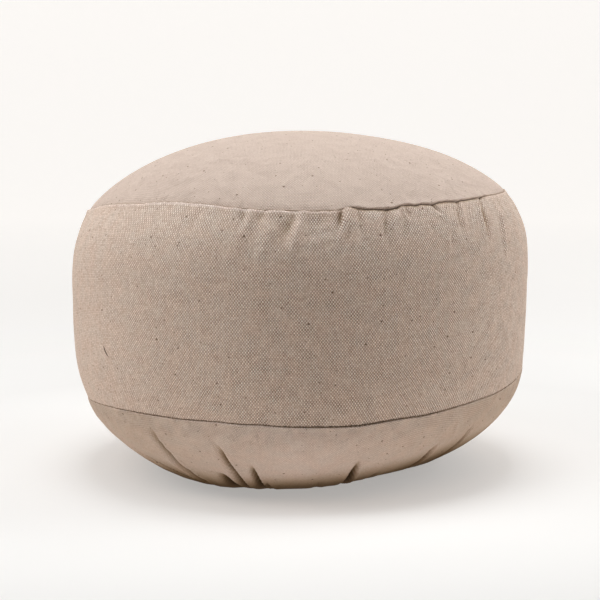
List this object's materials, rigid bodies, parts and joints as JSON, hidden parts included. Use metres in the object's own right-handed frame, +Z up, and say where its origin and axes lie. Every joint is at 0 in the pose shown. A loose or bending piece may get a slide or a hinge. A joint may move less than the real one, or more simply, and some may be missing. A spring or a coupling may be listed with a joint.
{
  "type": "zafu meditation cushion",
  "caption": "Round floor cushion with a domed top panel, a barrel side band and a gathered bottom panel with a flat foot.",
  "frame": {"origin": "centre of the footprint on the floor", "axes": "+Z up through the crown; -Y is the cushion's front"},
  "size_m": [0.328, 0.329, 0.242],
  "materials": {
    "side_canvas": "matte plain weave, unbleached cotton with seed specks",
    "top_canvas": "matte plain weave, unbleached cotton with seed specks",
    "bottom_canvas": "matte plain weave, unbleached cotton with seed specks"
  },
  "bodies": {
    "root": {"filled_side_band": "side_canvas", "top_panel": "top_canvas", "bottom_panel": "bottom_canvas"}
  },
  "joints": []
}
